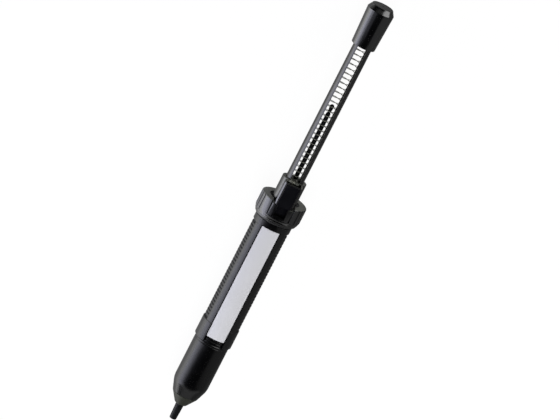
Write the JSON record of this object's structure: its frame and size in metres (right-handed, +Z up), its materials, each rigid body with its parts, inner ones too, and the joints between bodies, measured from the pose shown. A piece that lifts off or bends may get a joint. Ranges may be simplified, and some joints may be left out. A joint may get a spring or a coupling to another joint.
{
  "type": "desoldering pump",
  "caption": "Spring-driven solder sucker with a tapered nozzle, ribbed grip, fluted collar, trigger button and a slotted loading tube with a knob.",
  "frame": {"origin": "centre of the bounding box at its underside: the plane of the bench that the tool lies on", "axes": "+X along the tool, from the nozzle to the knob; +Z up, out of the side with the label plate and the trigger"},
  "size_m": [0.335, 0.0338, 0.0333],
  "materials": {
    "nozzle_plastic": "satin",
    "nose_plastic": "semi-gloss",
    "seal_rubber": "matte",
    "barrel_plastic": "semi-gloss",
    "washer_steel": "satin",
    "grip_plastic": "semi-gloss",
    "label_film": "satin silver",
    "collar_plastic": "semi-gloss",
    "ring_steel": "bright",
    "housing_plastic": "semi-gloss",
    "buffer_rubber": "matte",
    "bridge_plastic": "semi-gloss",
    "screw_steel": "satin",
    "pin_steel": "satin",
    "main_spring_steel": "satin",
    "return_spring_steel": "satin",
    "tube_plastic": "semi-gloss",
    "stop_brass": "satin",
    "knob_plastic": "semi-gloss",
    "insert_plastic": "semi-gloss",
    "piston_plastic": "satin",
    "piston_rubber": "matte",
    "rod_steel": "blackened",
    "nut_steel": "satin",
    "piston_washer_steel": "satin",
    "trigger_plastic": "semi-gloss",
    "latch_steel": "satin",
    "trigger_spring_steel": "satin"
  },
  "bodies": {
    "housing": {"nozzle": "nozzle_plastic", "nose_cone": "nose_plastic", "nose_seal": "seal_rubber", "barrel": "barrel_plastic", "front_washer": "washer_steel", "grip_sleeve": "grip_plastic", "label_plate": "label_film", "collar_cap": "collar_plastic", "snap_ring": "ring_steel", "neck_housing": "housing_plastic", "stop_buffer": "buffer_rubber", "spring_bridge": "bridge_plastic", "bridge_screw": "screw_steel", "trigger_pin": "pin_steel", "main_spring": "main_spring_steel", "return_spring": "return_spring_steel", "trigger_spring": "trigger_spring_steel"},
    "loader": {"loading_tube": "tube_plastic", "stop_ring": "stop_brass", "knob": "knob_plastic", "knob_insert": "insert_plastic"},
    "piston": {"piston": "piston_plastic", "piston_seal": "piston_rubber", "piston_rod": "rod_steel", "piston_nuts": "nut_steel", "piston_washer": "piston_washer_steel"},
    "trigger": {"trigger_button": "trigger_plastic", "latch_plate": "latch_steel"}
  },
  "joints": [
    {"name": "loading_slide", "type": "slide", "parent": "housing", "child": "loader", "axis": [-1, 0, 0], "range_m": [0, 0.0635], "stiffness_N_per_m": 30, "springref_m": -0.012, "deforming": ["return_spring"]},
    {"name": "piston_slide", "type": "slide", "parent": "housing", "child": "piston", "axis": [-1, 0, 0], "range_m": [0, 0.0635], "stiffness_N_per_m": 180, "springref_m": -0.02, "deforming": ["main_spring"]},
    {"name": "trigger_slide", "type": "slide", "parent": "housing", "child": "trigger", "axis": [0, 0, -1], "range_m": [0, 0.0018], "stiffness_N_per_m": 400, "springref_m": -0.0015, "deforming": ["trigger_spring"]}
  ],
  "couplings": [
    {"joint": "piston_slide", "follows": "loading_slide", "ratio": 1}
  ]
}
